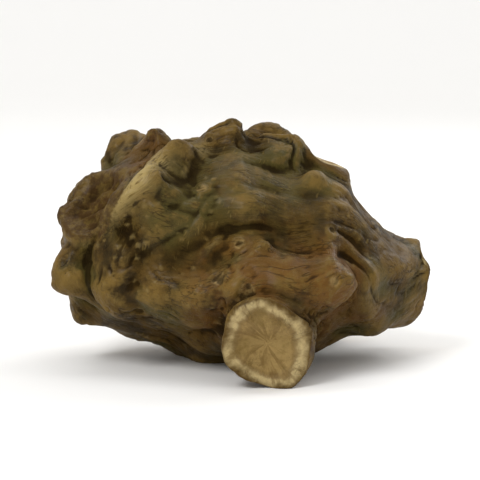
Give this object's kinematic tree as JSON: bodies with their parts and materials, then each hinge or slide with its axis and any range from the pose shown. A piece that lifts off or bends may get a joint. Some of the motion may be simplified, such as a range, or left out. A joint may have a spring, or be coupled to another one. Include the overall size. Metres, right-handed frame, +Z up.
{
  "type": "notoginseng root",
  "caption": "Whole dried notoginseng root: stout knobbly body with a cut stem scar at the crown, short cut side roots and one thin rootlet, lying on its flattened belly.",
  "frame": {"origin": "bottom centre of the bounding box, on the surface that the root rests on", "axes": "+X from the knobbly crown towards the cut tail, +Z up from the resting spot, -Y towards the viewer of the picture"},
  "size_m": [0.0408, 0.0334, 0.026],
  "materials": {
    "dried_root_skin": "wrinkled olive-brown bark with a low waxy sheen, rubbed paler on the knobs, and dull yellow-brown wood on the cut ends"
  },
  "bodies": {
    "root": {"notoginseng_root": "dried_root_skin"}
  },
  "joints": []
}
